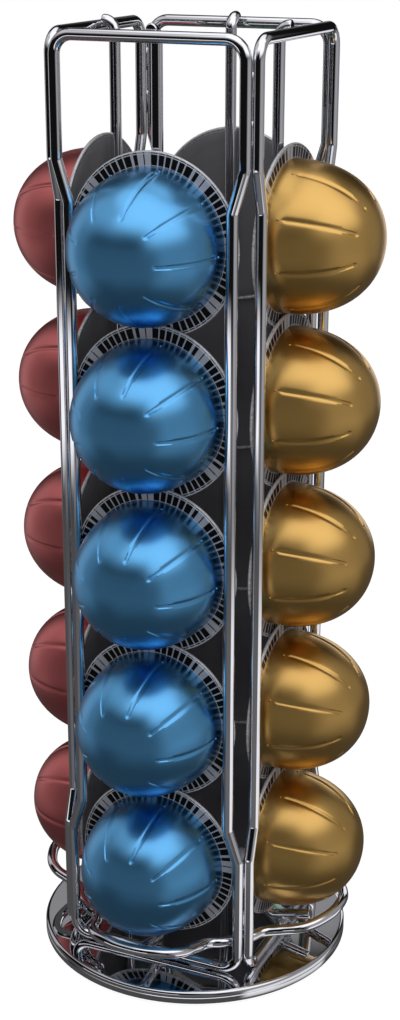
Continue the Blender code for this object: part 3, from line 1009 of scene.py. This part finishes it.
world = bpy.data.worlds.new("white_room")
bpy.context.scene.world = world
world.use_nodes = True
room = world.node_tree
room.nodes.clear()
sky = node(room, "ShaderNodeBackground", links={
    "Color": WHITE, "Strength": remap(room, shown_rays(room), 0.0, 1.0, ROOM_LIGHT, 1.0)})
node(room, "ShaderNodeOutputWorld", links={"Surface": sky.outputs[0]})
print("floor radius", FLOOR_R, "m, world set")

# %% [markdown]
# ## Studio tents and lamps
#
# Chrome has no colour of its own: it shows the studio. A photographer hangs
# black cloth round such an object and lets in a few white panels, and the
# panels become the highlights. The tent here is a ball round the rack that
# only reflections see. Its material measures the direction from the tent's
# centre as an angle round and an angle up. Each panel is soft-edged, and where
# panels overlap the brightest one counts, over a grey that starts below the
# horizon and stands for the table.
#
# Thin wires and broad cups want different panels, and a photographer shoots
# them apart and joins the pictures. Light linking does the same in one go: two
# more tents hang inside the first, clear except for the light that they add,
# one linked to the chrome pieces and one to the cups.

# %% Tent panels
TENT_CENTRE_Z = 0.17
# Glow of the cloth above and below its edge, and the angles down where that edge is
CLOTH_GLOW = (0.006, 0.08)
TABLE_EDGE = (math.radians(-8), math.radians(-20))
# Angle round from the front towards the right, angle up, half sizes, softness, strength
SHARED_PANELS = (
    (42, 69, 74, 27, 22, 1.25),
    (0, 80, 180, 17, 14, 1.15),
    (-55, 50, 50, 15, 26, 0.62),
    (68, 42, 36, 17, 22, 1.25),
    (84, 0, 31, 22, 27, 0.36),
    (260, 10, 12, 26, 8, 0.28),
    (178, 2, 14, 13, 6, 1.0),
    (126, 18, 24, 34, 16, 0.28),
    (30, -30, 60, 12, 26, 0.15),
    (207, 20, 17, 5, 6, 0.3),
    (206, 30, 22, 10, 8, 0.07),
)
CHROME_PANELS = (
    (-22, -10.5, 36, 4, 4, 1.1),
    (14, -12.5, 24, 4, 6, 0.24),
    (98, -33, 38, 12, 9, 0.85),
    (260, 10, 12, 26, 8, 0.2),
)
CUP_PANELS = (
    (-10, -1, 70, 20, 18, 0.155),
    (84, -24, 40, 13, 16, 0.2),
    (272, 4, 30, 34, 24, 0.28),
)


def tent_cloth(name, panels, glow=None):
    mat, tree = new_material(name)
    place = node(tree, "ShaderNodeTexCoord")
    parts = split(tree, vector_math(tree, "NORMALIZE", place.outputs["Object"])[0])
    front = math_node(tree, "MULTIPLY", parts["Y"], -1.0)
    turn = math_node(tree, "ARCTAN2", parts["X"], front)
    rise = math_node(tree, "ARCSINE", parts["Z"])
    total = remap(tree, rise, *TABLE_EDGE, *(glow or (0.0, 0.0)), "SMOOTHSTEP")
    for round_at, up_at, half_round, half_up, soft, strength in panels:
        shares = []
        for angle, at, half in ((turn, round_at, half_round), (rise, up_at, half_up)):
            off = math_node(tree, "SUBTRACT", angle, math.radians(at))
            near = math_node(tree, "WRAP", off, math.pi, -math.pi)
            outer, inner = math.radians(half + soft / 2), math.radians(half - soft / 2)
            far = math_node(tree, "ABSOLUTE", near)
            shares.append(remap(tree, far, outer, inner, 0.0, 1.0, "SMOOTHSTEP"))
        bright = math_node(tree, "MULTIPLY", math_node(tree, "MULTIPLY", *shares), strength)
        total = math_node(tree, "MAXIMUM", bright, total)
    cloth = node(tree, "ShaderNodeEmission", links={"Color": linear("#fdfdff"), "Strength": total})
    # A cloth without a glow of its own is clear between its panels
    if not glow:
        air = node(tree, "ShaderNodeBsdfTransparent")
        cloth = node(tree, "ShaderNodeAddShader", links={0: air.outputs[0], 1: cloth.outputs[0]})
    finish_material(tree, cloth)
    return mat


print("panels:", len(SHARED_PANELS), len(CHROME_PANELS), len(CUP_PANELS))

# %% [markdown]
# The linked tents are a little smaller than the first, so a reflected ray meets
# them on its way and goes on to the outer cloth. Light linking needs a
# collection of the pieces that may receive the light, and the pieces are
# picked by the material they wear.

# %% Tents
def wearing(word):
    return [o for o in bpy.data.objects if o.type == "MESH"
            and any(slot.material and word in slot.material.name for slot in o.material_slots)]


def hang_tent(name, radius, cloth, receivers=None):
    bm = bmesh.new()
    bmesh.ops.create_icosphere(bm, subdivisions=4, radius=radius)
    mesh = bpy.data.meshes.new(name)
    bm.to_mesh(mesh)
    bm.free()
    mesh.shade_smooth()
    mesh.materials.append(cloth)
    tent = add_object(name, mesh)
    tent.location = (0, 0, TENT_CENTRE_Z)
    for flag in ("camera", "diffuse", "transmission", "shadow", "volume_scatter"):
        setattr(tent, "visible_" + flag, False)
    if receivers:
        lit = bpy.data.collections.new(name + "_receivers")
        for piece in receivers:
            lit.objects.link(piece)
        tent.light_linking.receiver_collection = lit


hang_tent("studio_tent", 0.8, tent_cloth("tent_cloth", SHARED_PANELS, CLOTH_GLOW))
chrome_pieces = wearing("chrome_plated")
hang_tent("chrome_tent", 0.79, tent_cloth("chrome_tent_cards", CHROME_PANELS), chrome_pieces)
cup_pieces = wearing("lacquered_aluminium")
hang_tent("cup_tent", 0.78, tent_cloth("cup_tent_cards", CUP_PANELS), cup_pieces)
print("linked: chrome", len(chrome_pieces), "cups", len(cup_pieces))

# %% [markdown]
# The lamps light what is not a mirror: print, foil, rubber, the soft side of
# the lacquer and the floor. Five broad panels at low power surround the rack,
# the strongest one overhead, and none of them shows in a reflection, because
# the tents already draw every highlight.

# %% Lamps
def area_lamp(name, place, width, depth, power):
    data = bpy.data.lights.new(name, "AREA")
    data.shape = "RECTANGLE"
    data.size = width
    data.size_y = depth
    data.energy = power
    lamp = add_object(name, data)
    lamp.location = place
    aim = Vector((0, 0, TENT_CENTRE_Z)) - Vector(place)
    lamp.rotation_euler = aim.to_track_quat("-Z", "Y").to_euler()
    lamp.visible_glossy = False


# Place, width, depth and power in watts
area_lamp("overhead_panel", (0.15, -0.55, 0.95), 1.2, 0.8, 3.2)
area_lamp("right_panel", (1.0, -0.1, 0.3), 0.4, 0.9, 1.2)
area_lamp("left_panel", (-1.0, 0.1, 0.35), 0.4, 0.9, 0.8)
area_lamp("rear_panel", (0.1, 1.0, 0.5), 0.8, 0.6, 0.9)
area_lamp("front_fill", (0.5, -1.0, 0.2), 0.5, 0.5, 2.4)
bpy.context.scene.view_settings.view_transform = "Standard"
